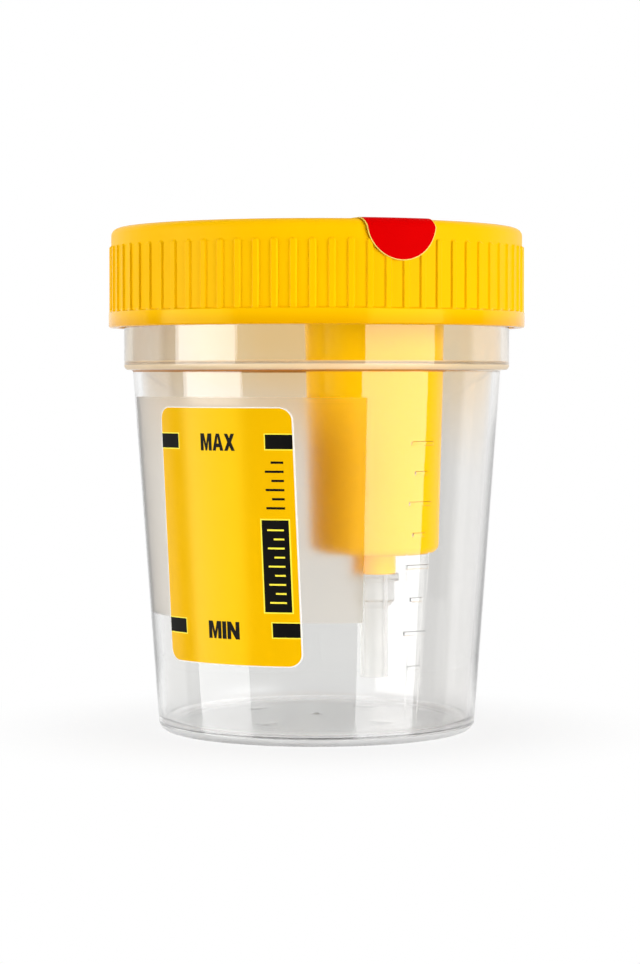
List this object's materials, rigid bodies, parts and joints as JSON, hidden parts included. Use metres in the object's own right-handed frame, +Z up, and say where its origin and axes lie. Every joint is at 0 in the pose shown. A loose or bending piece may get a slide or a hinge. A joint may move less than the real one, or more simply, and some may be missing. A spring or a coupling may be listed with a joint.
{
  "type": "specimen container",
  "caption": "Clear tapered specimen cup with a ribbed yellow screw lid that carries a deep tube well, a sleeved cannula and a straw reaching down into the cup.",
  "frame": {"origin": "centre of the foot, on the surface the cup stands on", "axes": "+Z up along the cup's axis, -Y to the front; the volume label is at the front left and the tube well at the front right (+X)"},
  "size_m": [0.065, 0.065, 0.0784],
  "materials": {
    "clear_plastic": "clear moulded polypropylene, glossy, with a matte panel behind the label",
    "label_film": "printed film, satin",
    "ring_foam": "soft closed foam",
    "yellow_plastic": "moulded polyethylene, satin",
    "needle_steel": "drawn and ground",
    "sleeve_rubber": "dusted rubber",
    "straw_plastic": "natural moulded polypropylene, slightly milky",
    "seal_film": "printed film, glossy"
  },
  "bodies": {
    "cup_body": {"cup": "clear_plastic", "volume_label": "label_film"},
    "ring_body": {"seal_ring": "ring_foam"},
    "lid_body": {"lid": "yellow_plastic", "safety_seal": "seal_film", "cannula": "needle_steel", "rubber_sleeve": "sleeve_rubber", "straw": "straw_plastic"}
  },
  "joints": [
    {"name": "lid_lift", "type": "slide", "parent": "cup_body", "child": "ring_body", "axis": [0, 0, 1], "range_m": [0, 0.072]},
    {"name": "lid_turn", "type": "hinge", "parent": "ring_body", "child": "lid_body", "pos_m": [0, 0, 0.07], "axis": [0, 0, 1], "range_deg": [0, 2160]}
  ],
  "couplings": [
    {"joint": "lid_lift", "follows": "lid_turn", "m_per_rad": 0.0019099}
  ]
}
